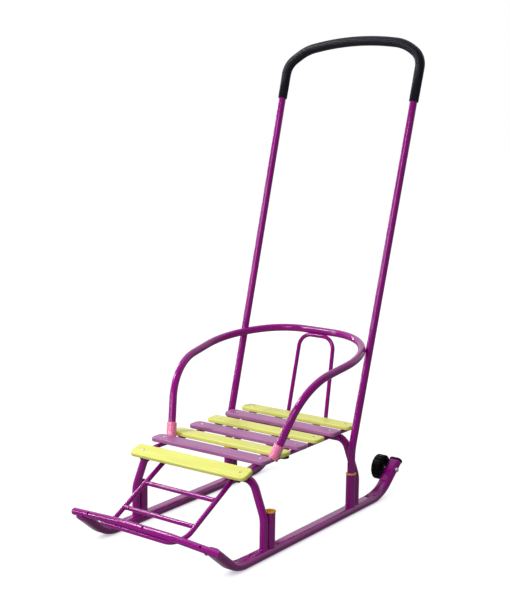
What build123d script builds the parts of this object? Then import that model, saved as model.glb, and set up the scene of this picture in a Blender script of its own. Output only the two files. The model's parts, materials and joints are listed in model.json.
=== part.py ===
"""Child's push sled: two flat-oval runners, two bent leg arches, seven seat slats,
a ladder footrest, a removable backrest hoop and a push handle in the rear sockets.

Millimetres.  +Z up, +X to the rider's left, the sled travels towards -Y.
Stations along the length are counted from the front crossbar's axis; the finished
parts are then moved so that the origin lies on the ground under the middle of the box.
"""
import os
from math import cos, radians, sin, tan

from build123d import *

# ---------------------------------------------------------------- sizes

# Runners: flat-oval steel tube, turned up at both ends
TRACK = 361.0                # between the two runners' centre lines
RUNNER_W = 32.0
RUNNER_H = 19.0
RUNNER_FRONT_BEND = 76.0     # station where the front upturn starts from
RUNNER_FRONT_ANGLE = 39.1
RUNNER_REAR_BEND = 679.0
RUNNER_REAR_ANGLE = 39.5
RUNNER_REAR_END = 761.0
RUNNER_FRONT_BEND_R = 95.0
RUNNER_FRONT_TRIM = 4.0      # the runners stop this far behind the crossbar's axis
RUNNER_REAR_BEND_R = 115.0
RUNNER_CAP_LENGTH = 5.0
RUNNER_CAP_LIP = 1.2

# Front crossbar: round tube, bowed up over the footrest, drilled for the tow rope,
# and welded on a little out of level
CROSSBAR_D = 16.0
CROSSBAR_LENGTH = 407.4
CROSSBAR_BOW = 7.0
CROSSBAR_BOW_HALF = 70.0
CROSSBAR_TILT = 4.0          # the left end hangs this much, the right end stands as much higher
CROSSBAR_BEND_R = 180.0
CROSSBAR_END_ROUND = 3.5
ROPE_HOLE_D = 6.0
ROPE_HOLE_X = 155.0
ROPE_HOLE_TILT = 45.0        # degrees forward from upright

# Leg arches: one tube across the sled carries each pair of legs
LEG_D = 18.0
FRONT_LEGS_Y = 185.0
REAR_LEGS_Y = 566.0
LEG_SPLAY = 20.5             # degrees inwards above the knee
LEG_KNEE_Z = 88.0
LEG_KNEE_R = 70.0
ARCH_CORNER_R = 30.0
RAIL_SEAT = 0.5              # depth that a rail is let into the arch under it

# Seat: two side rails under seven slats, the first one tilted down as a nose
SEAT_TOP = 202.6
SLAT_LENGTH = 321.0
SLAT_SHIFT = 3.0             # the boards sit this far to the right of the middle
SLAT_W = 41.6
SLAT_T = 10.0
SLAT_CORNER_R = 12.0
SLAT_EDGE_R = 3.0
SLAT_COUNT = 7
SLAT_PITCH = 70.7
SLAT_2_Y = 234.9
NOSE_SLAT_Y = 159.0
NOSE_SLAT_Z = 190.6
NOSE_ANGLE = 18.5
RAIL_SPACING = 270.4
RAIL_D = 10.0
RAIL_REAR_OVERHANG = 5.0
RAIL_NOSE_LENGTH = 46.0
RAIL_BEND_R = 40.0
RAIL_PLUG_LENGTH = 3.5

# Sockets on the runners, with a push-in bushing in each but the front right one
SOCKET_D = 23.0
SOCKET_WALL = 1.4
SOCKET_TOP = 97.0
SOCKET_FLOOR = 1.0           # closes the bore over the runner
FRONT_SOCKET_Y = 208.6
REAR_SOCKET_Y = 544.6
BUSHING_FLANGE_D = 25.0
BUSHING_FLANGE_T = 3.4
BUSHING_WALL = 0.8
BUSHING_DEPTH = 28.0
BUSHING_PLAY = 0.1

# Push handle: one bent tube with a ribbed grip over the top
PUSHER_D = 18.0
PUSHER_PLAY = 0.2
PUSHER_KNEE_Z = 154.7
PUSHER_KNEE_R = 131.7
PUSHER_LEAN = 0.2828         # rearwards per unit of height
PUSHER_CORNER_OUT = 10.3     # the upper corners stand this far outside the sockets' line
PUSHER_CORNER_Z = 1062.6
PUSHER_CORNER_R = 48.2
PUSHER_SHOULDER_IN = 50.5    # from a corner in to its shoulder
PUSHER_SHOULDER_Z = 1097.2
PUSHER_SHOULDER_R = 128.0
PUSHER_CROWN_Z = 1120.6
PUSHER_CROWN_R = 780.5
PUSHER_SKEW = 11.7           # the left corner stands higher than the middle, the right one lower
GRIP_D = 25.0
GRIP_PLAY = 0.1
GRIP_END_Z = 968.0
GRIP_END_ROUND = 2.0

# Footrest: a ladder from the crossbar to the front arch.  One tube is bent for its left
# side and its lower bar, which runs on past the right side tube to a mitred end
FOOTREST_D = 11.0
FOOTREST_SPACING = 197.0
FOOTREST_SLOPE = 27.5
FOOTREST_CORNER_R = 42.0
FOOTREST_TAIL = 24.0         # from the right side tube's centre line to the bar's end
FOOTREST_MITRE = 45.0
RUNG_D = 10.6
RUNG_LOWER_Y = 50.7
RUNG_UPPER_Y = 122.6

# Backrest hoop in two sleeves that clip on the side rails
HOOP_D = 18.0
HOOP_HANDLE_GAP = 0.4        # the arms pass just inside the handle's tubes
HOOP_FOOT_OUT = 9.4          # from a side rail's centre line
HOOP_FOOT_RISE = 7.5
HOOP_FOOT_AHEAD = 0.7        # in front of the middle between the second and third slats
HOOP_ELBOW_OUT = 5.2         # outside the runners' centre lines
HOOP_ELBOW_Y = 332.9
HOOP_ELBOW_RISE = 163.4      # above the side rails
HOOP_ELBOW_R = 147.8
HOOP_ARM_AHEAD = 45.6        # in front of the handle's tube at that height
HOOP_ARM_RISE = 198.4
HOOP_ARM_R = 199.0
HOOP_CORNER_IN = 77.4        # inside the runners' centre lines
HOOP_CORNER_BACK = 110.0     # behind the arms' corners
HOOP_CORNER_RISE = 213.1
HOOP_CORNER_R = 141.7
SLEEVE_D = 23.0
SLEEVE_LENGTH = 32.0
SLEEVE_PLAY = 0.1
SLEEVE_FOOT = 3.0            # from the tube's end down to the sleeve's lower end

# Thin rear support: up behind the last slat, forward under the slats
SUPPORT_D = 10.0
SUPPORT_TOP_X = 48.6
SUPPORT_FOOT_X = 55.6
SUPPORT_REACH = 15.0         # from the last slat's edge back to the upright
SUPPORT_WELD_ANGLE = 53.0    # of the weld, down and forward from the hoop's centre line
SUPPORT_CORNER_R = 32.0
SUPPORT_FOOT_R = 14.0
SUPPORT_FRONT_Y = 445.4

# Transport wheels on the inner sides of the upturned rear ends
WHEEL_D = 62.0
WHEEL_W = 20.5
WHEEL_EDGE_R = 2.0
WHEEL_GAP = 3.0              # from the runner's side to the wheel's side
WHEEL_HUB_D = 20.0
WHEEL_HUB_PLAY = 0.4
SPACER_D = 12.0
SPACER_T = 4.0               # between the hub and the runner
WHEEL_WEB_T = 7.0
WHEEL_RIM_T = 9.0
WHEEL_TREADS = 20
WHEEL_TREAD_GAP = 3.4
WHEEL_TREAD_DEPTH = 2.4
AXLE_SETBACK = 28.1          # from the runner's rear end, back along the upturn
AXLE_LIFT = 3.6              # square to the upturn, above its centre line
AXLE_D = 6.0
AXLE_PLAY = 0.08
AXLE_HEAD_AF = 10.0
AXLE_HEAD_T = 4.0
AXLE_NUT_T = 5.0
AXLE_TAIL = 3.0

# Bent tubes: the share of a run between two bends that stays straight at least
SHORTEST_RUN = 0.01
HOOP_FIT_STEPS = 8

# ---------------------------------------------------------------- derived places

HALF_TRACK = TRACK / 2
RUNNER_MID_Z = RUNNER_H / 2
CROSSBAR_Z = RUNNER_MID_Z + RUNNER_FRONT_BEND * tan(radians(RUNNER_FRONT_ANGLE))
RUNNER_REAR_Z = RUNNER_MID_Z + (RUNNER_REAR_END - RUNNER_REAR_BEND) * tan(radians(RUNNER_REAR_ANGLE))
SLAT_BOTTOM = SEAT_TOP - SLAT_T
RAIL_Z = SLAT_BOTTOM - RAIL_D / 2
RAIL_X = RAIL_SPACING / 2
RAIL_OVER_LEG = (RAIL_D + LEG_D) / 2 - RAIL_SEAT
LAST_SLAT_Y = SLAT_2_Y + (SLAT_COUNT - 2) * SLAT_PITCH
SOCKET_BORE = SOCKET_D - 2 * SOCKET_WALL
socket_floor_z = RUNNER_H + SOCKET_FLOOR
BUSHING_D = SOCKET_BORE - 2 * BUSHING_PLAY
BUSHING_BORE = BUSHING_D - 2 * BUSHING_WALL
PUSHER_TUBE_D = min(PUSHER_D, BUSHING_BORE - 2 * PUSHER_PLAY)
FOOTREST_Z = CROSSBAR_Z + CROSSBAR_BOW - (CROSSBAR_D + FOOTREST_D) / 2


# ---------------------------------------------------------------- helpers

def bend_reaches(corners, bends):
    """How far each bend reaches along its two runs; bends that meet on a short run share it."""
    reaches = [0.0]
    for start, corner, following, bend in zip(corners, corners[1:], corners[2:], bends):
        half = radians((start - corner).get_angle(following - corner)) / 2
        reaches.append(bend / tan(half))
    reaches.append(0.0)
    shares = [1.0] * len(reaches)
    for place, (start, end) in enumerate(zip(corners, corners[1:])):
        wanted = reaches[place] + reaches[place + 1]
        room = (end - start).length * (1 - SHORTEST_RUN)
        share = min(1.0, room / wanted)
        shares[place] = min(shares[place], share)
        shares[place + 1] = min(shares[place + 1], share)
    return [reach * share for reach, share in zip(reaches, shares)][1:-1]


def bent_path(points, bends):
    """Centre line through the points: straight runs joined by tangent arcs."""
    corners = [Vector(*point) for point in points]
    start = corners[0]
    edges = []
    for corner, following, reach in zip(corners[1:-1], corners[2:], bend_reaches(corners, bends)):
        back = (start - corner).normalized()
        ahead = (following - corner).normalized()
        half = radians(back.get_angle(ahead)) / 2
        inward = (back + ahead).normalized()
        middle = corner + inward * reach * (1 - sin(half)) / cos(half)
        first = corner + back * reach
        last = corner + ahead * reach
        edges.append(Line(start, first))
        edges.append(ThreePointArc(first, middle, last))
        start = last
    edges.append(Line(start, corners[-1]))
    return Wire(edges)


def mirrored(points):
    """The points, then the same ones on the other side of the sled's middle plane."""
    return list(points) + [(-x, y, z) for x, y, z in reversed(points)]


def swept(path, section, x_dir=None):
    """The section carried along the path from its first end."""
    start = Plane(origin=path @ 0, z_dir=path % 0, x_dir=x_dir)
    return sweep(start * section, path=path)


def tube(path, diameter):
    """A round bar along the path."""
    return swept(path, Circle(diameter / 2))


def rod(start, end, diameter):
    """A straight round bar between two points."""
    return tube(Wire([Line(start, end)]), diameter)


def both_sides(name, solid):
    """The left piece and its mirror image on the right."""
    return {name + "_left": solid, name + "_right": mirror(solid, about=Plane.YZ)}


pieces = {}

# ---------------------------------------------------------------- runners

front_dir = Vector(0, -cos(radians(RUNNER_FRONT_ANGLE)), sin(radians(RUNNER_FRONT_ANGLE)))
rear_dir = Vector(0, cos(radians(RUNNER_REAR_ANGLE)), sin(radians(RUNNER_REAR_ANGLE)))
runner_front = Vector(HALF_TRACK, 0, CROSSBAR_Z) - front_dir * RUNNER_FRONT_TRIM
runner_path = bent_path(
    [
        tuple(runner_front),
        (HALF_TRACK, RUNNER_FRONT_BEND, RUNNER_MID_Z),
        (HALF_TRACK, RUNNER_REAR_BEND, RUNNER_MID_Z),
        (HALF_TRACK, RUNNER_REAR_END, RUNNER_REAR_Z),
    ],
    [RUNNER_FRONT_BEND_R, RUNNER_REAR_BEND_R],
)
runner_solid = swept(runner_path, SlotOverall(RUNNER_W, RUNNER_H), x_dir=(1, 0, 0))
crossbar_half = CROSSBAR_LENGTH / 2


def crossbar_height(x):
    """Height of the crossbar's centre line at a distance from the middle."""
    fall = CROSSBAR_BOW * (abs(x) - CROSSBAR_BOW_HALF) / (crossbar_half - CROSSBAR_BOW_HALF)
    return CROSSBAR_Z + CROSSBAR_BOW - max(fall, 0) - CROSSBAR_TILT * x / crossbar_half


crossbar_corners = (crossbar_half, CROSSBAR_BOW_HALF, -CROSSBAR_BOW_HALF, -crossbar_half)
crossbar_path = bent_path([(x, 0, crossbar_height(x)) for x in crossbar_corners], [CROSSBAR_BEND_R] * 2)
crossbar_bar = tube(crossbar_path, CROSSBAR_D)
crossbar = fillet(crossbar_bar.faces().sort_by(Axis.X)[0].edges(), CROSSBAR_END_ROUND)
crossbar = fillet(crossbar.faces().sort_by(Axis.X)[-1].edges(), CROSSBAR_END_ROUND)
for hole_x in (-ROPE_HOLE_X, 0, ROPE_HOLE_X):
    hole_at = Pos(hole_x, 0, crossbar_height(hole_x))
    crossbar -= hole_at * Rot(ROPE_HOLE_TILT, 0, 0) * Cylinder(ROPE_HOLE_D / 2, 2 * CROSSBAR_D)
pieces["front_crossbar"] = crossbar

cap_start = Vector(HALF_TRACK, RUNNER_REAR_END, RUNNER_REAR_Z)
cap_section = SlotOverall(RUNNER_W + 2 * RUNNER_CAP_LIP, RUNNER_H + 2 * RUNNER_CAP_LIP)
cap_plane = Plane(origin=cap_start, z_dir=rear_dir, x_dir=(1, 0, 0))
runner_cap = extrude(cap_plane * cap_section, RUNNER_CAP_LENGTH)
runner_cap = fillet(runner_cap.faces().sort_by(Axis(cap_start, rear_dir))[-1].edges(), RUNNER_CAP_LENGTH * 0.5)
pieces.update(both_sides("runner_cap", runner_cap))

# ---------------------------------------------------------------- side rails' centre line

nose_cos = cos(radians(NOSE_ANGLE))
nose_sin = sin(radians(NOSE_ANGLE))
nose_below = SLAT_T + RAIL_D / 2
nose_rail_y = NOSE_SLAT_Y + nose_below * nose_sin
nose_rail_z = NOSE_SLAT_Z - nose_below * nose_cos
rail_bend_y = nose_rail_y + (RAIL_Z - nose_rail_z) * nose_cos / nose_sin
rail_nose = (RAIL_X, rail_bend_y - RAIL_NOSE_LENGTH * nose_cos, RAIL_Z - RAIL_NOSE_LENGTH * nose_sin)
rail_rear_y = LAST_SLAT_Y + SLAT_W / 2 + RAIL_REAR_OVERHANG
rail_path = bent_path(
    [rail_nose, (RAIL_X, rail_bend_y, RAIL_Z), (RAIL_X, rail_rear_y, RAIL_Z)],
    [RAIL_BEND_R],
)
rail_bar = tube(rail_path, RAIL_D)

# ---------------------------------------------------------------- leg arches

# The front cross tube meets the bent-down nose of the rails, the rear one their flat run
rear_arch_z = RAIL_Z - RAIL_OVER_LEG
nose_line_z = RAIL_Z - (rail_bend_y - FRONT_LEGS_Y) * nose_sin / nose_cos
front_arch_z = min(rear_arch_z, nose_line_z - RAIL_OVER_LEG / nose_cos)
runner_mirror = mirror(runner_solid, about=Plane.YZ)


def leg_arch(station, height):
    """Two legs and the cross tube between them, bent from one tube."""
    corner_x = HALF_TRACK - (height - LEG_KNEE_Z) * tan(radians(LEG_SPLAY))
    side = [
        (HALF_TRACK, station, RUNNER_MID_Z),
        (HALF_TRACK, station, LEG_KNEE_Z),
        (corner_x, station, height),
    ]
    bends = [LEG_KNEE_R, ARCH_CORNER_R, ARCH_CORNER_R, LEG_KNEE_R]
    return tube(bent_path(mirrored(side), bends), LEG_D) - runner_solid - runner_mirror


front_arch = leg_arch(FRONT_LEGS_Y, front_arch_z)
rear_arch = leg_arch(REAR_LEGS_Y, rear_arch_z)
side_rail = rail_bar - front_arch - rear_arch
pieces.update(both_sides("side_rail", side_rail))

nose_dir = Vector(0, -nose_cos, -nose_sin)
nose_start = Vector(*rail_nose)
nose_plug = extrude(Plane(origin=nose_start, z_dir=nose_dir) * Circle(RAIL_D / 2), RAIL_PLUG_LENGTH)
nose_plug = fillet(nose_plug.faces().sort_by(Axis(nose_start, nose_dir))[-1].edges(), RAIL_PLUG_LENGTH * 0.5)
pieces.update(both_sides("rail_plug_front", nose_plug))
rear_start = Vector(RAIL_X, rail_rear_y, RAIL_Z)
rear_plug = extrude(Plane(origin=rear_start, z_dir=(0, 1, 0)) * Circle(RAIL_D / 2), RAIL_PLUG_LENGTH)
rear_plug = fillet(rear_plug.faces().sort_by(Axis.Y)[-1].edges(), RAIL_PLUG_LENGTH * 0.5)
pieces.update(both_sides("rail_plug_rear", rear_plug))

# ---------------------------------------------------------------- slats


def slat():
    """One seat slat lying flat, its top face centred on the origin."""
    outline = RectangleRounded(SLAT_LENGTH, SLAT_W, SLAT_CORNER_R)
    board = extrude(Plane.XY.offset(-SLAT_T) * outline, SLAT_T)
    top_and_bottom = board.edges().filter_by(lambda edge: abs(edge.center().Z + SLAT_T / 2) > SLAT_T / 4)
    return fillet(top_and_bottom, SLAT_EDGE_R)


board = slat()
pieces["slat_1"] = Pos(-SLAT_SHIFT, NOSE_SLAT_Y, NOSE_SLAT_Z) * Rot(NOSE_ANGLE, 0, 0) * board
for step in range(SLAT_COUNT - 1):
    place = SLAT_2_Y + step * SLAT_PITCH
    pieces["slat_%d" % (step + 2)] = Pos(-SLAT_SHIFT, place, SEAT_TOP) * board

# ---------------------------------------------------------------- sockets and bushings


def socket(station):
    """Upright tube on a runner, its foot shaped to the runner's top and closed by a floor."""
    height = SOCKET_TOP - RUNNER_MID_Z
    body = extrude(Plane(origin=(HALF_TRACK, station, RUNNER_MID_Z)) * Circle(SOCKET_D / 2), height)
    bore = extrude(Plane(origin=(HALF_TRACK, station, socket_floor_z)) * Circle(SOCKET_BORE / 2), height)
    return body - bore - runner_solid


def bushing(station):
    """Plastic liner with a flange on the socket's rim."""
    rim = Plane(origin=(HALF_TRACK, station, SOCKET_TOP))
    flange = extrude(rim * Circle(BUSHING_FLANGE_D / 2), BUSHING_FLANGE_T)
    flange = fillet(flange.faces().sort_by(Axis.Z)[-1].edges(), BUSHING_FLANGE_T * 0.3)
    flange = fillet(flange.faces().sort_by(Axis.Z)[0].edges(), BUSHING_FLANGE_T * 0.15)
    liner = extrude(rim * Circle(BUSHING_D / 2), -BUSHING_DEPTH)
    bore = Pos(HALF_TRACK, station, SOCKET_TOP) * Cylinder(BUSHING_BORE / 2, 3 * BUSHING_DEPTH)
    return flange + liner - bore


pieces.update(both_sides("front_socket", socket(FRONT_SOCKET_Y)))
pieces.update(both_sides("rear_socket", socket(REAR_SOCKET_Y)))
pieces["front_bushing_left"] = bushing(FRONT_SOCKET_Y)
pieces.update(both_sides("rear_bushing", bushing(REAR_SOCKET_Y)))

# ---------------------------------------------------------------- push handle


def pusher_y(z):
    """Station of the handle's centre line at a height above its knees."""
    return REAR_SOCKET_Y + (z - PUSHER_KNEE_Z) * PUSHER_LEAN


def pusher_point(x, z):
    """A point of the handle's leaning plane, where its top is a little askew."""
    height = z + PUSHER_SKEW * x / pusher_corner_x
    return (x, pusher_y(height), height)


def pusher_side(side):
    """The handle's points from a socket up to the shoulder; side is 1 left and -1 right."""
    return [
        (side * HALF_TRACK, REAR_SOCKET_Y, socket_floor_z),
        (side * HALF_TRACK, REAR_SOCKET_Y, PUSHER_KNEE_Z),
        pusher_point(side * pusher_corner_x, PUSHER_CORNER_Z),
        pusher_point(side * (pusher_corner_x - PUSHER_SHOULDER_IN), PUSHER_SHOULDER_Z),
    ]


def grip_side(side):
    """The grip's points: its lower end on the straight tube, then the handle's own."""
    knee, corner, shoulder = pusher_side(side)[1:]
    share = (GRIP_END_Z - knee[2]) / (corner[2] - knee[2])
    end = Vector(*knee) + (Vector(*corner) - Vector(*knee)) * share
    return [tuple(end), corner, shoulder]


pusher_corner_x = HALF_TRACK + PUSHER_CORNER_OUT
pusher_crown = pusher_point(0, PUSHER_CROWN_Z)
half_bends = [PUSHER_KNEE_R, PUSHER_CORNER_R, PUSHER_SHOULDER_R]
pusher_bends = half_bends + [PUSHER_CROWN_R] + half_bends[::-1]
pusher_path = bent_path(pusher_side(1) + [pusher_crown] + pusher_side(-1)[::-1], pusher_bends)
pieces["pusher_tube"] = tube(pusher_path, PUSHER_TUBE_D)

grip_path = bent_path(grip_side(1) + [pusher_crown] + grip_side(-1)[::-1], pusher_bends[1:-1])
pieces["pusher_grip"] = swept(grip_path, Circle(GRIP_D / 2) - Circle(PUSHER_TUBE_D / 2 + GRIP_PLAY))

# ---------------------------------------------------------------- footrest

footrest_rise = tan(radians(FOOTREST_SLOPE))
footrest_x = FOOTREST_SPACING / 2
crossbar_fall = CROSSBAR_TILT / crossbar_half


def footrest_point(x, station):
    """A point of the ladder's plane, level at the arch and parallel to the crossbar below."""
    share = 1 - station / FRONT_LEGS_Y
    return (x, station, FOOTREST_Z + station * footrest_rise - crossbar_fall * x * share)


bar_end = Vector(*footrest_point(-footrest_x - FOOTREST_TAIL, 0))
footrest_corners = [footrest_point(footrest_x, FRONT_LEGS_Y), footrest_point(footrest_x, 0), tuple(bar_end)]
footrest = tube(bent_path(footrest_corners, [FOOTREST_CORNER_R]), FOOTREST_D)
mitre_dir = (-cos(radians(FOOTREST_MITRE)), 0, -sin(radians(FOOTREST_MITRE)))
mitre_plane = Plane(origin=bar_end + Vector(0, 0, FOOTREST_D / 2), z_dir=mitre_dir)
footrest = footrest - extrude(mitre_plane * Circle(FOOTREST_TAIL), FOOTREST_TAIL)
footrest_cut = footrest - front_arch - crossbar_bar
pieces["footrest_frame"] = footrest_cut.solids().sort_by(SortBy.VOLUME)[-1]

side_tube = rod(footrest_point(-footrest_x, FRONT_LEGS_Y), footrest_point(-footrest_x, 0), FOOTREST_D)
side_cut = side_tube - footrest - front_arch - crossbar_bar
pieces["footrest_side_right"] = side_cut.solids().sort_by(SortBy.VOLUME)[-1]
for name, station in (("footrest_rung_lower", RUNG_LOWER_Y), ("footrest_rung_upper", RUNG_UPPER_Y)):
    rung = rod(footrest_point(-footrest_x, station), footrest_point(footrest_x, station), RUNG_D)
    pieces[name] = (rung - footrest - side_tube).solids().sort_by(SortBy.VOLUME)[-1]

# ---------------------------------------------------------------- backrest hoop and sleeves

hoop_arm_z = RAIL_Z + HOOP_ARM_RISE
hoop_arm_y = pusher_y(hoop_arm_z) - HOOP_ARM_AHEAD
hoop_foot_y = SLAT_2_Y + SLAT_PITCH / 2 - HOOP_FOOT_AHEAD
hoop_foot = Vector(RAIL_X + HOOP_FOOT_OUT, hoop_foot_y, RAIL_Z + HOOP_FOOT_RISE)
hoop_elbow = Vector(HALF_TRACK + HOOP_ELBOW_OUT, HOOP_ELBOW_Y, RAIL_Z + HOOP_ELBOW_RISE)
hoop_corner = Vector(HALF_TRACK - HOOP_CORNER_IN, hoop_arm_y + HOOP_CORNER_BACK, RAIL_Z + HOOP_CORNER_RISE)


def hoop_wire(arm_x):
    """The hoop's centre line, its arms' corners at this distance from the middle plane."""
    side = [tuple(hoop_foot), tuple(hoop_elbow), (arm_x, hoop_arm_y, hoop_arm_z), tuple(hoop_corner)]
    bends = [HOOP_ELBOW_R, HOOP_ARM_R, HOOP_CORNER_R]
    return bent_path(mirrored(side), bends + bends[::-1])


# The arms are moved out from the handle's own width until only the gap is left
hoop_arm_x = HALF_TRACK
handle_distance = HOOP_HANDLE_GAP + (HOOP_D + PUSHER_D) / 2
for step in range(HOOP_FIT_STEPS):
    hoop_arm_x += hoop_wire(hoop_arm_x).distance_to(pusher_path) - handle_distance
pieces["backrest_hoop"] = tube(hoop_wire(hoop_arm_x), HOOP_D)

hoop_up = (hoop_elbow - hoop_foot).normalized()
sleeve_low = hoop_foot - hoop_up * SLEEVE_FOOT
sleeve = extrude(Plane(origin=sleeve_low, z_dir=hoop_up) * Circle(SLEEVE_D / 2), SLEEVE_FOOT + SLEEVE_LENGTH)
sleeve_bore = extrude(Plane(origin=hoop_foot, z_dir=hoop_up) * Circle(HOOP_D / 2 + SLEEVE_PLAY), 2 * SLEEVE_LENGTH)
sleeve = sleeve - sleeve_bore - rail_bar
pieces.update(both_sides("backrest_sleeve", sleeve.solids().sort_by(SortBy.VOLUME)[-1]))

# ---------------------------------------------------------------- rear support

support_y = LAST_SLAT_Y + SLAT_W / 2 + SUPPORT_REACH
support_off = (HOOP_D + SUPPORT_D) / 2
support_top_y = hoop_corner.Y - support_off * cos(radians(SUPPORT_WELD_ANGLE))
support_top_z = hoop_corner.Z - support_off * sin(radians(SUPPORT_WELD_ANGLE))
support_side = [
    (SUPPORT_FOOT_X, SUPPORT_FRONT_Y, RAIL_Z),
    (SUPPORT_FOOT_X, support_y, RAIL_Z),
    (SUPPORT_TOP_X, support_top_y, support_top_z),
]
support_bends = [SUPPORT_FOOT_R, SUPPORT_CORNER_R, SUPPORT_CORNER_R, SUPPORT_FOOT_R]
support = tube(bent_path(mirrored(support_side), support_bends), SUPPORT_D)
pieces["backrest_support"] = support - rear_arch

# ---------------------------------------------------------------- wheels on their bolts

runner_inner = HALF_TRACK - RUNNER_W / 2
runner_outer = HALF_TRACK + RUNNER_W / 2
wheel_outer_x = runner_inner - WHEEL_GAP
wheel_inner_x = wheel_outer_x - WHEEL_W
runner_end = Vector(0, RUNNER_REAR_END, RUNNER_REAR_Z)
upturn_normal = Vector(0, -rear_dir.Z, rear_dir.Y)
axle_at = runner_end - rear_dir * AXLE_SETBACK + upturn_normal * AXLE_LIFT


def axle_plane(x):
    """The plane square to the axle at a distance from the middle plane."""
    return Plane(origin=(x, axle_at.Y, axle_at.Z), z_dir=(1, 0, 0))


def disc(diameter, start_x, end_x):
    """A cylinder about the wheel's axis between two distances from the middle plane."""
    return extrude(axle_plane(start_x) * Circle(diameter / 2), end_x - start_x)


wheel = disc(WHEEL_D, wheel_inner_x, wheel_outer_x)
wheel = fillet(wheel.edges(), WHEEL_EDGE_R)
for tread in range(WHEEL_TREADS):
    groove = Pos(WHEEL_D / 2, 0, WHEEL_W / 2) * Box(2 * WHEEL_TREAD_DEPTH, WHEEL_TREAD_GAP, 2 * WHEEL_W)
    wheel -= axle_plane(wheel_inner_x).location * Rot(0, 0, 360 / WHEEL_TREADS * tread) * groove
recess_d = WHEEL_D - 2 * WHEEL_RIM_T
recess_t = (WHEEL_W - WHEEL_WEB_T) / 2
spacer_x = runner_inner - SPACER_T
hub_outer_x = spacer_x - WHEEL_HUB_PLAY
for face_x, depth in ((wheel_inner_x, recess_t), (wheel_outer_x, -recess_t)):
    wheel -= disc(recess_d, face_x - depth, face_x + depth)
wheel += disc(WHEEL_HUB_D, wheel_inner_x, hub_outer_x)
wheel -= disc(AXLE_D + 2 * AXLE_PLAY, wheel_inner_x - WHEEL_W, runner_outer)
pieces.update(both_sides("wheel", wheel))

nut_x = wheel_inner_x - WHEEL_HUB_PLAY
bolt = disc(AXLE_D, nut_x - AXLE_NUT_T - AXLE_TAIL, runner_outer) + disc(SPACER_D, spacer_x, runner_inner)
hexagon = RegularPolygon(AXLE_HEAD_AF / 2, 6, major_radius=False)
bolt += extrude(axle_plane(runner_outer) * hexagon, AXLE_HEAD_T)
bolt += extrude(axle_plane(nut_x - AXLE_NUT_T) * hexagon, AXLE_NUT_T)
pieces.update(both_sides("wheel_bolt", bolt))
runner_solid = runner_solid - disc(AXLE_D, runner_inner - WHEEL_GAP, runner_outer + WHEEL_GAP)
pieces["runner_left"] = runner_solid - crossbar_bar
pieces["runner_right"] = mirror(runner_solid, about=Plane.YZ) - crossbar_bar
pieces["front_leg_arch"] = front_arch
pieces["rear_leg_arch"] = rear_arch

# ---------------------------------------------------------------- place and write

boxes = [piece.bounding_box() for piece in pieces.values()]
front_y = min(box.min.Y for box in boxes)
rear_y = max(box.max.Y for box in boxes)
shift = Pos(0, -(front_y + rear_y) / 2, 0)

os.makedirs("parts", exist_ok=True)
for name, piece in pieces.items():
    export_step(shift * piece, "parts/%s.step" % name)
print("moved along Y by", -(front_y + rear_y) / 2, "length", rear_y - front_y)
print("axle at", axle_at.Y, axle_at.Z, "wheel middle", (wheel_inner_x + wheel_outer_x) / 2, "hoop arms at", hoop_arm_x)
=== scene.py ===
import json
from math import cos, pi, radians, sin
import bmesh
import bpy
from mathutils import Matrix, Vector

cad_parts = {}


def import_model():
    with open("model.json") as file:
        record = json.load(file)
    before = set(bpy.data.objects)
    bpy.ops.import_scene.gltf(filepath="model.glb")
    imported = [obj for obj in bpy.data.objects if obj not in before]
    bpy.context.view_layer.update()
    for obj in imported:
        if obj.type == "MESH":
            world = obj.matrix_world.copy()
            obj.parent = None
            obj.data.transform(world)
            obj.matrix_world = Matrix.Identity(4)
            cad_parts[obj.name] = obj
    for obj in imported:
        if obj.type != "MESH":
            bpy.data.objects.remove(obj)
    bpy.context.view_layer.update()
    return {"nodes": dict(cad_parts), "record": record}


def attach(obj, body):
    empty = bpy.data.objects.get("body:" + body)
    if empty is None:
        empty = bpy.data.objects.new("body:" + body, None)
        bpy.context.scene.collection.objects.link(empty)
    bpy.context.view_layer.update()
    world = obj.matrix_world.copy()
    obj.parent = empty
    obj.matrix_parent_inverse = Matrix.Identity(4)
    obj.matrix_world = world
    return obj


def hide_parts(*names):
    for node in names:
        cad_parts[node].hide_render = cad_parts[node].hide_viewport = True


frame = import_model()
nodes = frame["nodes"]
record = frame["record"]

# ---------------------------------------------------------------- camera

SHIFT_Y = -0.4099729          # from the front crossbar's axis to the part's origin
AZ, PITCH, ROLL = radians(35.3237), radians(10.2957), radians(0.7248)
forward = Vector((-sin(AZ) * cos(PITCH), cos(AZ) * cos(PITCH), -sin(PITCH)))
side = Vector((cos(AZ), sin(AZ), 0))
above = side.cross(forward)
right = cos(ROLL) * side + sin(ROLL) * above
up = -sin(ROLL) * side + cos(ROLL) * above
cam_data = bpy.data.cameras.new("camera")
cam = bpy.data.objects.new("camera", cam_data)
bpy.context.scene.collection.objects.link(cam)
rot = Matrix((right, up, -forward)).transposed().to_4x4()
cam.matrix_world = Matrix.Translation((1.6921, -1.9906 + SHIFT_Y, 1.0349)) @ rot
cam_data.sensor_width = 36.0
cam_data.lens = 1289.91 / 606 * 36
cam_data.shift_x = -0.00026
cam_data.shift_y = 0.00437
cam_data.clip_end = 50
bpy.context.scene.camera = cam


# ---------------------------------------------------------------- materials

def lin(r, g, b):
    """sRGB 0..255 to linear."""
    out = []
    for c in (r, g, b):
        c = c / 255
        out.append(c / 12.92 if c <= 0.04045 else ((c + 0.055) / 1.055) ** 2.4)
    return (*out, 1.0)


def material(name):
    """A new material with its tree and shader."""
    m = bpy.data.materials.new(name)
    m.use_nodes = True
    tree = m.node_tree
    bsdf = tree.nodes["Principled BSDF"]
    return m, tree, bsdf


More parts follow.
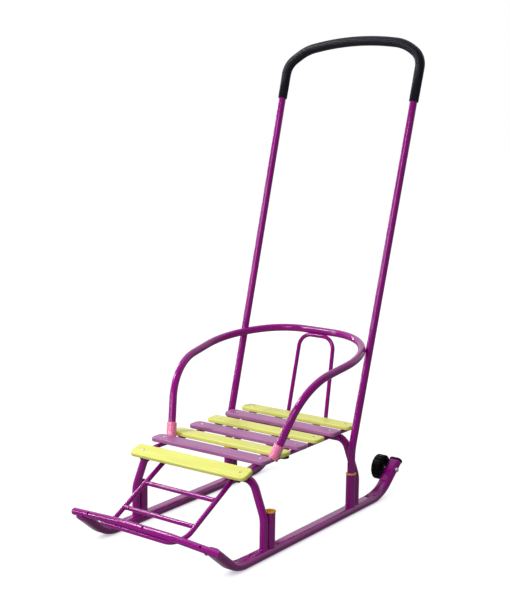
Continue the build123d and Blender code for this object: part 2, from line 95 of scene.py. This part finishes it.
def noise(tree, scale, detail=2.0, stretch=(1, 1, 1), rough=0.5):
    """Noise in the object's own coordinates."""
    co = tree.nodes.new("ShaderNodeTexCoord")
    mp = tree.nodes.new("ShaderNodeMapping")
    mp.inputs["Scale"].default_value = stretch
    n = tree.nodes.new("ShaderNodeTexNoise")
    n.inputs["Scale"].default_value = scale
    n.inputs["Detail"].default_value = detail
    n.inputs["Roughness"].default_value = rough
    tree.links.new(co.outputs["Object"], mp.inputs["Vector"])
    tree.links.new(mp.outputs["Vector"], n.inputs["Vector"])
    return n


def span(tree, source, low, high, from_low=0.3, from_high=0.7):
    """The source mapped from its own range to low..high."""
    n = tree.nodes.new("ShaderNodeMapRange")
    n.inputs["From Min"].default_value = from_low
    n.inputs["From Max"].default_value = from_high
    n.inputs["To Min"].default_value = low
    n.inputs["To Max"].default_value = high
    tree.links.new(source, n.inputs["Value"])
    return n.outputs["Result"]


def two_tone(tree, source, a, b, from_low=0.3, from_high=0.7):
    """Two colours mixed by the source."""
    ramp = tree.nodes.new("ShaderNodeValToRGB")
    ramp.color_ramp.elements[0].position = from_low
    ramp.color_ramp.elements[1].position = from_high
    ramp.color_ramp.elements[0].color = a
    ramp.color_ramp.elements[1].color = b
    tree.links.new(source, ramp.inputs["Fac"])
    return ramp.outputs["Color"]


def bump(tree, bsdf, source, strength, distance):
    b = tree.nodes.new("ShaderNodeBump")
    b.inputs["Strength"].default_value = strength
    b.inputs["Distance"].default_value = distance
    tree.links.new(source, b.inputs["Height"])
    tree.links.new(b.outputs["Normal"], bsdf.inputs["Normal"])
    return b


def paint():
    """Glossy powder coat whose colour and gloss drift a little."""
    m, t, s = material("purple_paint")
    drift = noise(t, 9.0, 3.0)
    t.links.new(two_tone(t, drift.outputs["Fac"], lin(144, 0, 126), lin(160, 3, 141)), s.inputs["Base Color"])
    t.links.new(span(t, drift.outputs["Fac"], 0.06, 0.1), s.inputs["Roughness"])
    s.inputs["Specular IOR Level"].default_value = 0.5
    return m


def slat_finish(name, a, b, rough):
    """Satin paint over a grain that runs along the slats."""
    m, t, s = material(name)
    grain = noise(t, 60.0, 4.0, (0.12, 1.0, 1.0))
    t.links.new(two_tone(t, grain.outputs["Fac"], a, b), s.inputs["Base Color"])
    t.links.new(span(t, grain.outputs["Fac"], rough, rough + 0.12), s.inputs["Roughness"])
    bump(t, s, grain.outputs["Fac"], 0.25, 0.0004)
    return m


def plastic(name, a, b, rough, scale=300.0, strength=0.15, coat=0.0, shine=0.5):
    """Moulded plastic or rubber with a fine mottle in colour, gloss and relief."""
    m, t, s = material(name)
    mottle = noise(t, scale, 3.0)
    t.links.new(two_tone(t, mottle.outputs["Fac"], a, b), s.inputs["Base Color"])
    t.links.new(span(t, mottle.outputs["Fac"], rough, rough + 0.1), s.inputs["Roughness"])
    bump(t, s, mottle.outputs["Fac"], strength, 0.0003)
    s.inputs["Coat Weight"].default_value = coat
    s.inputs["Specular IOR Level"].default_value = shine
    return m


def zinc():
    m, t, s = material("zinc")
    s.inputs["Metallic"].default_value = 1.0
    patches = noise(t, 400.0, 3.0)
    colour = two_tone(t, patches.outputs["Fac"], lin(190, 190, 196), lin(228, 228, 230))
    t.links.new(colour, s.inputs["Base Color"])
    t.links.new(span(t, patches.outputs["Fac"], 0.2, 0.36), s.inputs["Roughness"])
    return m


mats = {
    "paint": paint(),
    "slat_yellow": slat_finish("yellow_slat", lin(230, 232, 112), lin(240, 242, 130), 0.36),
    "slat_lilac": slat_finish("lilac_slat", lin(160, 90, 147), lin(184, 116, 170), 0.34),
    "black_cap": plastic("black_cap", lin(6, 6, 8), lin(14, 14, 16), 0.4, shine=0.2),
    "grip": plastic("grip_rubber", lin(12, 12, 22), lin(24, 24, 38), 0.3, shine=0.24),
    "bushing": plastic("orange_bushing", lin(246, 178, 44), lin(252, 196, 66), 0.3),
    "sleeve": plastic("pink_sleeve", lin(250, 104, 152), lin(255, 160, 200), 0.22, 260.0, 0.5, 0.5),
    "wheel": plastic("wheel_black", lin(1, 2, 3), lin(7, 6, 9), 0.4, shine=0.14),
    "zinc": zinc(),
}
slots = {s["node"]: s["material_slot"] for s in record["subparts"]}
for name, obj in nodes.items():
    obj.data.materials.clear()
    obj.data.materials.append(mats[slots[name]])
    for poly in obj.data.polygons:
        poly.material_index = 0

# ---------------------------------------------------------------- shapes for the fine parts

MM = 0.001


def place(x, y, z):
    """Millimetres from the front crossbar's axis to the part's frame in metres."""
    return Vector((x * MM, y * MM + SHIFT_Y, z * MM))


def piece(name, bm, finish, body="sled", smooth=True):
    """The mesh as a named object that rides on a body."""
    mesh = bpy.data.meshes.new(name)
    bmesh.ops.recalc_face_normals(bm, faces=bm.faces)
    bm.to_mesh(mesh)
    bm.free()
    for poly in mesh.polygons:
        poly.use_smooth = smooth
    obj = bpy.data.objects.new(name, mesh)
    bpy.context.scene.collection.objects.link(obj)
    mesh.materials.append(finish)
    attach(obj, body)
    return obj


def frame_for(axis):
    """Two directions square to the axis, and the axis itself."""
    axis = Vector(axis).normalized()
    other = Vector((0, 0, 1)) if abs(axis.z) < 0.9 else Vector((1, 0, 0))
    u = axis.cross(other).normalized()
    return u, axis.cross(u), axis


def lathe(bm, centre, axis, profile, segments=20, sides=0):
    """A turned shape: profile of (radius, height) in mm along the axis; sides gives flats."""
    u, v, w = frame_for(axis)
    rings = []
    for radius, height in profile:
        if radius == 0:
            rings.append([bm.verts.new(centre + w * height * MM)])
            continue
        ring = []
        for k in range(segments):
            a = 2 * pi * k / segments
            r = radius
            if sides:
                r = radius * cos(pi / sides) / cos((a % (2 * pi / sides)) - pi / sides)
            ring.append(bm.verts.new(centre + (u * cos(a) + v * sin(a)) * r * MM + w * height * MM))
        rings.append(ring)
    for low, high in zip(rings, rings[1:]):
        for k in range(segments):
            n = (k + 1) % segments
            quad = [low[k % len(low)], low[n % len(low)], high[n % len(high)], high[k % len(high)]]
            quad = list(dict.fromkeys(quad))
            if len(quad) > 2:
                bm.faces.new(quad)
    return rings


def bead(bm, points, size, lump=0.22, sections=8, closed=True):
    """A lumpy weld bead along points (mm from the crossbar's axis)."""
    line = [place(*p) for p in points]
    count = len(line)
    rings = []
    for i, p in enumerate(line):
        ahead = line[(i + 1) % count] if closed or i < count - 1 else p
        back = line[i - 1] if closed or i > 0 else p
        u, v, _ = frame_for(ahead - back)
        r = size * MM * (1 + lump * sin(i * 2.3) * cos(i * 0.7 + size))
        if not closed and i in (0, count - 1):
            r *= 0.35
        turns = (2 * pi * k / sections for k in range(sections))
        rings.append([bm.verts.new(p + (u * cos(a) + v * sin(a)) * r) for a in turns])
    pairs = list(zip(rings, rings[1:]))
    if closed:
        pairs.append((rings[-1], rings[0]))
    for one, two in pairs:

        def apart(turn):
            return sum((one[k].co - two[(k + turn) % sections].co).length for k in range(sections))

        shift = min(range(sections), key=apart)
        for k in range(sections):
            n = (k + 1) % sections
            bm.faces.new([one[k], one[n], two[(n + shift) % sections], two[(k + shift) % sections]])
    if not closed:
        bm.faces.new(rings[0])
        bm.faces.new(rings[-1])


def circle(centre, axis, radius, steps=28):
    """Points round an axis, in mm from the crossbar's axis."""
    u, v, _ = frame_for(axis)
    c = Vector(centre)
    return [tuple(c + (u * cos(a) + v * sin(a)) * radius) for a in (2 * pi * k / steps for k in range(steps))]


# ---------------------------------------------------------------- runners with their dented bends

HALF_TRACK = 180.5
RUNNER_H = 19.0
RUNNER_MID = RUNNER_H / 2
LEG_STATIONS = (185.0, 566.0)
SOCKET_STATIONS = (208.6, 544.6)
DENT_DEPTH = 7.0
FLAT = 6.5                    # half of the flat between the two rounded sides
FRONT_BEND, FRONT_ANGLE, FRONT_R, FRONT_TRIM = 76.0, radians(39.1), 95.0, 4.0
REAR_BEND, REAR_ANGLE, REAR_R, REAR_END = 679.0, radians(39.5), 115.0, 761.0


def smooth(low, high, v):
    t = min(max((v - low) / (high - low), 0.0), 1.0)
    return t * t * (3 - 2 * t)


def runner_line():
    """Points (y, z) and slopes along the runner's centre line, close together in the bends."""
    out = []
    rise = FRONT_BEND * sin(FRONT_ANGLE) / cos(FRONT_ANGLE)
    t1 = FRONT_R * sin(FRONT_ANGLE / 2) / cos(FRONT_ANGLE / 2)
    t2 = REAR_R * sin(REAR_ANGLE / 2) / cos(REAR_ANGLE / 2)
    y, z = FRONT_TRIM * cos(FRONT_ANGLE), RUNNER_MID + rise - FRONT_TRIM * sin(FRONT_ANGLE)
    end = FRONT_BEND - t1 * cos(FRONT_ANGLE), RUNNER_MID + t1 * sin(FRONT_ANGLE)
    for k in range(12):
        out.append((y + (end[0] - y) * k / 12, z + (end[1] - z) * k / 12, -FRONT_ANGLE))
    for k in range(21):
        a = FRONT_ANGLE * (1 - k / 20)
        out.append((FRONT_BEND + t1 - FRONT_R * sin(a), RUNNER_MID + FRONT_R * (1 - cos(a)), -a))
    start, stop = FRONT_BEND + t1, REAR_BEND - t2
    for k in range(1, 30):
        out.append((start + 3.0 * k, RUNNER_MID, 0.0))
    first, last = start + 87.0, stop - 36.0
    for k in range(1, 20):
        out.append((first + (last - first) * k / 20, RUNNER_MID, 0.0))
    for k in range(12):
        out.append((last + 3.0 * k, RUNNER_MID, 0.0))
    for k in range(25):
        a = REAR_ANGLE * k / 24
        out.append((stop + REAR_R * sin(a), RUNNER_MID + REAR_R * (1 - cos(a)), a))
    y, z, _ = out[-1]
    goal = REAR_END, RUNNER_MID + (REAR_END - REAR_BEND) * sin(REAR_ANGLE) / cos(REAR_ANGLE)
    for k in range(1, 13):
        out.append((y + (goal[0] - y) * k / 12, z + (goal[1] - z) * k / 12, REAR_ANGLE))
    return out


def dent(y):
    """Depth and half width of the dent in the runner's top face at a station."""
    front = smooth(62, 92, y) * (1 - smooth(104, 164, y))
    rear = smooth(612, 648, y) * (1 - smooth(664, 704, y))
    share = max(front, rear)
    return DENT_DEPTH * share, 4.0 + 6.8 * share


def runner(side):
    """The flat-oval runner as rings of points, with its top face pressed in at the bends."""
    bm = bmesh.new()
    xs = [-15.0, -13.6, -12.4, -11.2] + [-10.0 + k for k in range(21)] + [11.2, 12.4, 13.6, 15.0]
    rings = []
    for y, z, a in runner_line():
        depth, wide = dent(y)
        ring = []
        for x in xs:
            over = max(abs(x) - FLAT, 0)
            h = (RUNNER_MID ** 2 - over ** 2) ** 0.5
            if abs(x) < wide:
                h -= depth * (1 - (x / wide) ** 2) ** 1.25
            h += 0.14 * depth * max(0, 1 - ((abs(x) - wide - 1.2) / 2.6) ** 2)
            ring.append((x, h))
        ring.append((FLAT + RUNNER_MID, 0.0))
        for k in range(1, 8):
            ring.append((FLAT + RUNNER_MID * cos(pi / 2 * k / 8), -RUNNER_MID * sin(pi / 2 * k / 8)))
        ring += [(x, -RUNNER_MID) for x in (FLAT, 0.0, -FLAT)]
        for k in range(7, 0, -1):
            ring.append((-FLAT - RUNNER_MID * cos(pi / 2 * k / 8), -RUNNER_MID * sin(pi / 2 * k / 8)))
        ring.append((-FLAT - RUNNER_MID, 0.0))
        points = (place(side * (HALF_TRACK + x), y - h * sin(a), z + h * cos(a)) for x, h in ring)
        rings.append([bm.verts.new(p) for p in points])
    count = len(rings[0])
    for one, two in zip(rings, rings[1:]):
        for k in range(count):
            n = (k + 1) % count
            bm.faces.new([one[k], one[n], two[n], two[k]])
    bm.faces.new(rings[0])
    bm.faces.new(rings[-1])
    return bm


for name, side in (("left", 1), ("right", -1)):
    formed = piece("runner_formed_" + name, runner(side), mats["paint"])
    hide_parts("runner_" + name)

# ---------------------------------------------------------------- ribbed grip

LEAN = 0.2828                 # the handle leans back this much for each unit of height
KNEE = (544.6, 154.7)         # station and height
CORNER = (190.8, 1062.6)      # distance from the middle plane and height
SHOULDER = (140.3, 1097.2)
CROWN_Z = 1120.6
HANDLE_SKEW = 11.7            # the left corner stands this much higher, the right one lower
HANDLE_BENDS = [48.2, 128.0, 780.5, 128.0, 48.2]
GRIP_END_Z = 968.0
GRIP_R = 11.9
RIBS = 22
RIB_PROFILE = (0.0, 0.05, 0.5, 0.05)
ARC_STEPS = 14
SHORTEST_RUN = 0.01           # the share of a run that its two bends leave straight


def handle_point(x, height):
    """A point of the handle's leaning plane."""
    height += HANDLE_SKEW * x / CORNER[0]
    return place(x, KNEE[0] + (height - KNEE[1]) * LEAN, height)


def rounded(corners, bends):
    """Points along straight runs joined by tangent arcs."""
    reaches = [0.0]
    for back, corner, ahead, bend in zip(corners, corners[1:], corners[2:], bends):
        half = (back - corner).angle(ahead - corner) / 2
        reaches.append(bend * MM * cos(half) / sin(half))
    reaches.append(0.0)
    shares = [1.0] * len(reaches)
    for k, (start, end) in enumerate(zip(corners, corners[1:])):
        share = min(1.0, (end - start).length * (1 - SHORTEST_RUN) / (reaches[k] + reaches[k + 1]))
        shares[k], shares[k + 1] = min(shares[k], share), min(shares[k + 1], share)
    line = [corners[0]]
    for k in range(1, len(corners) - 1):
        corner, reach = corners[k], reaches[k] * shares[k]
        one, two = (corners[k - 1] - corner).normalized(), (corners[k + 1] - corner).normalized()
        centre = corner + (one + two).normalized() * (reach / cos(one.angle(two) / 2))
        first, last = corner + one * reach - centre, corner + two * reach - centre
        for j in range(ARC_STEPS + 1):
            line.append(centre + first.slerp(last, j / ARC_STEPS).normalized() * first.length)
    return line + [corners[-1]]


def ribbed_grip():
    """The grip along the handle's upper bends, with fine ribs along it."""
    ends = []
    for side in (1, -1):
        knee, corner = place(side * HALF_TRACK, *KNEE), handle_point(side * CORNER[0], CORNER[1])
        rise = CORNER[1] - KNEE[1] + side * HANDLE_SKEW
        ends.append((knee + (corner - knee) * (GRIP_END_Z - KNEE[1]) / rise, corner))
    x, z = SHOULDER
    top = [handle_point(x, z), handle_point(0, CROWN_Z), handle_point(-x, z)]
    line = rounded([*ends[0], *top, *ends[1][::-1]], HANDLE_BENDS)
    bm = bmesh.new()
    u, _, _ = frame_for(line[1] - line[0])
    rings = []
    count = len(RIB_PROFILE) * RIBS
    for i, p in enumerate(line):
        ahead = (line[min(i + 1, len(line) - 1)] - line[max(i - 1, 0)]).normalized()
        u = (u - ahead * u.dot(ahead)).normalized()
        v = ahead.cross(u)
        ring = []
        for k in range(count):
            a = 2 * pi * k / count
            r = GRIP_R - RIB_PROFILE[k % len(RIB_PROFILE)]
            if i in (0, len(line) - 1):
                r -= 0.5
            ring.append(bm.verts.new(p + (u * cos(a) + v * sin(a)) * r * MM))
        rings.append(ring)
    for one, two in zip(rings, rings[1:]):
        for k in range(count):
            n = (k + 1) % count
            bm.faces.new([one[k], one[n], two[n], two[k]])
    bm.faces.new(rings[0])
    bm.faces.new(rings[-1])
    return bm


grip = piece("grip_ribbed", ribbed_grip(), mats["grip"])
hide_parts("pusher_grip")

# ---------------------------------------------------------------- slat screws

SEAT_TOP = 202.6
RAIL_X = 135.2
SLATS_Y = [234.9 + 70.7 * k for k in range(6)]
NOSE = (159.0, 190.6, radians(18.5))
bm = bmesh.new()
head = [(0, 0.55), (0.9, 0.55), (1.1, 1.25), (1.9, 1.15), (2.7, 0.65), (3.1, 0.1), (3.1, -0.6), (0, -0.6)]
for x in (-RAIL_X, RAIL_X):
    for y in SLATS_Y:
        lathe(bm, place(x, y, SEAT_TOP), (0, 0, 1), head)
    lathe(bm, place(x, NOSE[0], NOSE[1]), (0, -sin(NOSE[2]), cos(NOSE[2])), head)
piece("slat_screws", bm, mats["zinc"])

# ---------------------------------------------------------------- weld beads

bm = bmesh.new()
for side in (-1, 1):
    x = side * HALF_TRACK
    for y in LEG_STATIONS:
        bead(bm, circle((x, y, RUNNER_H), (0, 0, 1), 9.2), 1.3)
    for y in SOCKET_STATIONS:
        bead(bm, circle((x, y, RUNNER_H), (0, 0, 1), 11.7, 36), 1.3)
LADDER_RISE = sin(radians(27.5)) / cos(radians(27.5))
LADDER_Z = 64.76
RUNG_STATIONS = (50.7, 122.6)
CROSSBAR_FALL = 4 / 203.7     # the crossbar drops this much for each unit towards the left


def ladder(x, y):
    """A point of the footrest's plane."""
    return (x, y, LADDER_Z + y * LADDER_RISE - CROSSBAR_FALL * x * (1 - y / LEG_STATIONS[0]))


for y in RUNG_STATIONS:
    for side in (-1, 1):
        bead(bm, circle(ladder(side * 92.6, y), (1, 0, 0), 5.2, 20), 0.9)
for side in (-1, 1):
    bead(bm, circle((side * 168.6, 0.0, 71.3 - side * 3.3), (1, 0, 0), 8.0, 24), 1.2)
    for y in LEG_STATIONS:
        for off in (-4.6, 4.6):
            seam = [(side * RAIL_X + off, y - 6 + 2 * k, 180.8 - 0.18 * abs(k - 3)) for k in range(7)]
            bead(bm, seam, 1.2, closed=False)
piece("weld_beads", bm, mats["paint"])

# ---------------------------------------------------------------- marks on the left upturn, dark disc under a slat

bm = bmesh.new()
square_up = (0, -sin(REAR_ANGLE), cos(REAR_ANGLE))
rivet = [(0, 1.1), (1.3, 1.0), (2.3, 0.5), (2.7, -0.2), (2.7, -0.8), (0, -0.8)]
lathe(bm, place(180.0, 719.0, 54.6), square_up, rivet)
piece("upturn_rivet", bm, mats["paint"])
bm = bmesh.new()
# painted shade: a black disc on the upturn stands for the dark inside of a small hole beside the rivet
hole_shade_disc = [(0, 0.15), (1.1, 0.2), (1.6, 0.35), (1.9, 0.1), (1.9, -0.8), (0, -0.8)]
lathe(bm, place(186.5, 715.0, 51.6), square_up, hole_shade_disc)
piece("upturn_hole_painted_shade", bm, mats["black_cap"])
# a black disc hung under the near end of the third slat only, where that end is dark underneath
bm = bmesh.new()
disc_under_slat = [(0, 0), (11.2, 0), (11.6, 0.6), (11.4, 2.6), (10.4, 3.4), (0, 3.6)]
lathe(bm, place(149.0, 305.6, 192.4), (0, 0, -1), disc_under_slat, 28)
piece("dark_disc_under_slat", bm, mats["black_cap"])

# ---------------------------------------------------------------- floor, world and lamps


def stage_floor():
    """A pale floor that glows white to the camera but keeps the sled's cast shadow, with a painted contact
    shadow darkening its glow near the sled.
    """
    mesh = bpy.data.meshes.new("floor")
    size = 14.0
    corners = [(-size, -size, 0), (size, -size, 0), (size, size, 0), (-size, size, 0)]
    mesh.from_pydata(corners, [], [(0, 1, 2, 3)])
    floor = bpy.data.objects.new("floor", mesh)
    bpy.context.scene.collection.objects.link(floor)
    floor.location.z = -0.0005
    m = bpy.data.materials.new("floor")
    m.use_nodes = True
    t = m.node_tree
    t.nodes.clear()
    out = t.nodes.new("ShaderNodeOutputMaterial")
    diffuse = t.nodes.new("ShaderNodeBsdfDiffuse")
    diffuse.inputs["Color"].default_value = (0.15, 0.147, 0.154, 1)
    glow = t.nodes.new("ShaderNodeEmission")
    path = t.nodes.new("ShaderNodeLightPath")
    seen = t.nodes.new("ShaderNodeMath")
    seen.operation = "MAXIMUM"
    t.links.new(path.outputs["Is Camera Ray"], seen.inputs[0])
    mirrored = t.nodes.new("ShaderNodeMath")
    mirrored.operation = "MULTIPLY"
    mirrored.inputs[1].default_value = 0.22
    t.links.new(path.outputs["Is Glossy Ray"], mirrored.inputs[0])
    t.links.new(mirrored.outputs[0], seen.inputs[1])
    # the glow grows away from the sled, where the lamps fall off, so that the floor stays even
    co = t.nodes.new("ShaderNodeTexCoord")
    reach = t.nodes.new("ShaderNodeVectorMath")
    reach.operation = "LENGTH"
    t.links.new(co.outputs["Object"], reach.inputs[0])
    glow_at = span(t, reach.outputs["Value"], 0.95, 1.0, 0.5, 1.6)
    level = t.nodes.new("ShaderNodeMath")
    level.operation = "MULTIPLY"
    t.links.new(seen.outputs[0], level.inputs[0])
    t.links.new(glow_at, level.inputs[1])
    # painted contact shadow: the glow's colour turns grey-mauve where ambient occlusion finds the sled within
    # 9 cm
    close = t.nodes.new("ShaderNodeAmbientOcclusion")
    close.samples = 12
    close.inputs["Distance"].default_value = 0.09
    painted_contact_shadow = two_tone(t, close.outputs["AO"], lin(186, 178, 194), (1, 1, 1, 1), 0.12, 0.6)
    t.links.new(painted_contact_shadow, glow.inputs["Color"])
    t.links.new(level.outputs[0], glow.inputs["Strength"])
    both = t.nodes.new("ShaderNodeAddShader")
    t.links.new(diffuse.outputs[0], both.inputs[0])
    t.links.new(glow.outputs[0], both.inputs[1])
    t.links.new(both.outputs[0], out.inputs["Surface"])
    mesh.materials.append(m)


def world():
    """White to the camera, and a dim even fill for the rest."""
    w = bpy.data.worlds.new("studio")
    bpy.context.scene.world = w
    w.use_nodes = True
    t = w.node_tree
    bg = t.nodes["Background"]
    bg.inputs["Color"].default_value = (1, 1, 1, 1)
    path = t.nodes.new("ShaderNodeLightPath")
    a = t.nodes.new("ShaderNodeMath")
    a.operation = "MAXIMUM"
    t.links.new(path.outputs["Is Camera Ray"], a.inputs[0])
    t.links.new(path.outputs["Is Transmission Ray"], a.inputs[1])
    # reflections see the white background towards -X and +Y, and a dimmer studio opposite
    co = t.nodes.new("ShaderNodeTexCoord")
    ahead = t.nodes.new("ShaderNodeVectorMath")
    ahead.operation = "DOT_PRODUCT"
    ahead.inputs[1].default_value = (-0.57, 0.80, 0.15)
    t.links.new(co.outputs["Generated"], ahead.inputs[0])
    shown = span(t, ahead.outputs["Value"], 0.08, 1.0, -0.1, 0.45)
    gloss = t.nodes.new("ShaderNodeMath")
    gloss.operation = "MULTIPLY"
    t.links.new(path.outputs["Is Glossy Ray"], gloss.inputs[0])
    t.links.new(shown, gloss.inputs[1])
    every = t.nodes.new("ShaderNodeMath")
    every.operation = "MAXIMUM"
    t.links.new(a.outputs[0], every.inputs[0])
    t.links.new(gloss.outputs[0], every.inputs[1])
    b = t.nodes.new("ShaderNodeMath")
    b.operation = "MAXIMUM"
    b.inputs[1].default_value = 0.2
    t.links.new(every.outputs[0], b.inputs[0])
    t.links.new(b.outputs[0], bg.inputs["Strength"])


def lamp(name, place, target, size, power, mirrored=True):
    """An area lamp facing its target; reflections leave it out where it isn't mirrored."""
    data = bpy.data.lights.new(name, "AREA")
    data.shape = "RECTANGLE"
    data.size, data.size_y = size
    data.energy = power
    obj = bpy.data.objects.new(name, data)
    bpy.context.scene.collection.objects.link(obj)
    obj.location = place
    obj.rotation_euler = (Vector(target) - Vector(place)).to_track_quat("-Z", "Y").to_euler()
    obj.visible_glossy = mirrored


stage_floor()
world()
lamp("key", (-0.1, -3.0, 2.05), (0, 0, 0.5), (1.0, 1.1), 19)
lamp("over", (-1.7, -1.0, 2.5), (0, 0, 0.3), (0.5, 0.5), 24)
lamp("left", (-2.6, 0.6, 1.0), (0, 0, 0.6), (0.16, 1.8), 20)
lamp("behind", (-1.9, 2.6, 1.3), (0, 0, 0.1), (2.4, 0.8), 18, False)
lamp("strip", (-1.8, -2.07, 1.3), (0, 0, 0.5), (0.14, 1.1), 9)
lamp("front", (-1.3, -2.3, 1.5), (0, 0, 0.4), (1.4, 1.4), 25, False)
lamp("near", (1.6, -2.2, 1.4), (0, 0, 0.4), (1.2, 1.2), 16, False)
lamp("top", (0.2, 0.8, 2.8), (0, 0, 0.3), (1.3, 1.3), 8, False)

scene = bpy.context.scene
scene.view_settings.view_transform = "Standard"
